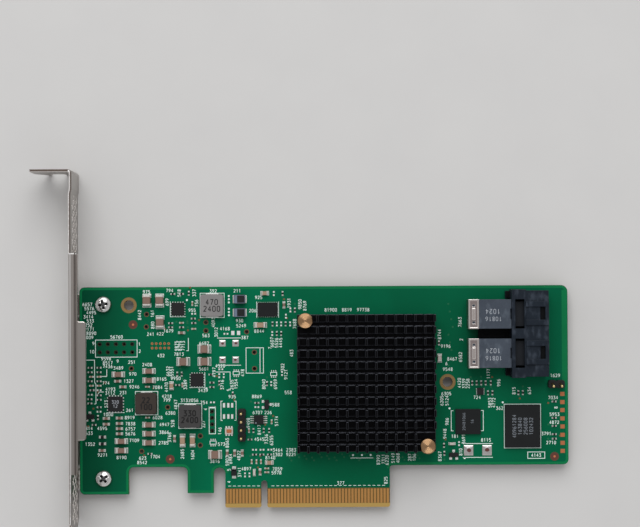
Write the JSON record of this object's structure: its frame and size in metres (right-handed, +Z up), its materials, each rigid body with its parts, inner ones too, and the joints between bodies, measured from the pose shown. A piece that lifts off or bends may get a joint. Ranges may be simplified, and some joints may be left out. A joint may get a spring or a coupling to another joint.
{
  "type": "host bus adapter card",
  "caption": "Low-profile edge-connector adapter card with pin-fin heat sink, twin right-angle cable socket and full-height vented slot bracket, lying component side up.",
  "frame": {"origin": "middle of the footprint, on the surface the card lies on, level with the bracket's lower edge", "axes": "+X along the board from the bracket to the cable sockets, +Y from the edge contacts towards the bracket's mounting tab, +Z up from the component side"},
  "size_m": [0.1658, 0.12, 0.0184],
  "materials": {
    "solder_mask": "satin",
    "contact_gold": "satin",
    "nickel_sheet": "satin",
    "screw_steel": "satin",
    "black_anodised": "matte",
    "turned_brass": "satin",
    "spring_steel": "satin",
    "chip_mould": "matte",
    "pad_grey": "matte",
    "socket_plastic": "matte",
    "clip_nickel": "satin",
    "tin": "satin",
    "header_plastic": "matte",
    "header_gold": "satin",
    "ferrite_grey": "matte",
    "ferrite_brown": "matte",
    "ceramic_tan": "matte",
    "bead_dark": "matte",
    "label_paper": "matte"
  },
  "bodies": {
    "root": {"board": "solder_mask", "edge_contacts_front": "contact_gold", "edge_contacts_back": "contact_gold", "bracket": "nickel_sheet", "bracket_screws": "screw_steel", "heat_sink": "black_anodised", "push_pins": "turned_brass", "pin_springs": "spring_steel", "controller_package": "chip_mould", "thermal_pad": "pad_grey", "port_housing": "socket_plastic", "port_0_block": "socket_plastic", "port_1_block": "socket_plastic", "port_0_rear_clip": "clip_nickel", "port_1_rear_clip": "clip_nickel", "port_board_locks": "tin", "header_4_strip": "header_plastic", "header_4_pins": "header_gold", "header_2_strip": "header_plastic", "header_2_pins": "header_gold", "inductor_upper": "ferrite_grey", "inductor_left": "ferrite_brown", "inductor_right": "ferrite_grey", "polymer_capacitors": "chip_mould", "power_controllers": "chip_mould", "power_stage": "chip_mould", "regulator": "chip_mould", "memory_small": "chip_mould", "memory_large": "chip_mould", "sense_amplifier": "chip_mould", "logic_chip": "chip_mould", "serial_memory": "chip_mould", "interface_chip": "chip_mould", "gate_chip": "chip_mould", "transistors": "chip_mould", "oscillator": "header_gold", "diode": "chip_mould", "capacitors_1210_front": "ceramic_tan", "capacitors_1206_front": "ceramic_tan", "capacitors_0805_front": "ceramic_tan", "capacitors_0603_front": "ceramic_tan", "capacitors_1206_back": "ceramic_tan", "capacitors_0805_back": "ceramic_tan", "ferrite_beads_back": "bead_dark", "capacitors_0603_back": "ceramic_tan", "address_label": "label_paper", "assembly_label": "label_paper", "serial_label": "label_paper", "blank_label": "label_paper"}
  },
  "joints": []
}
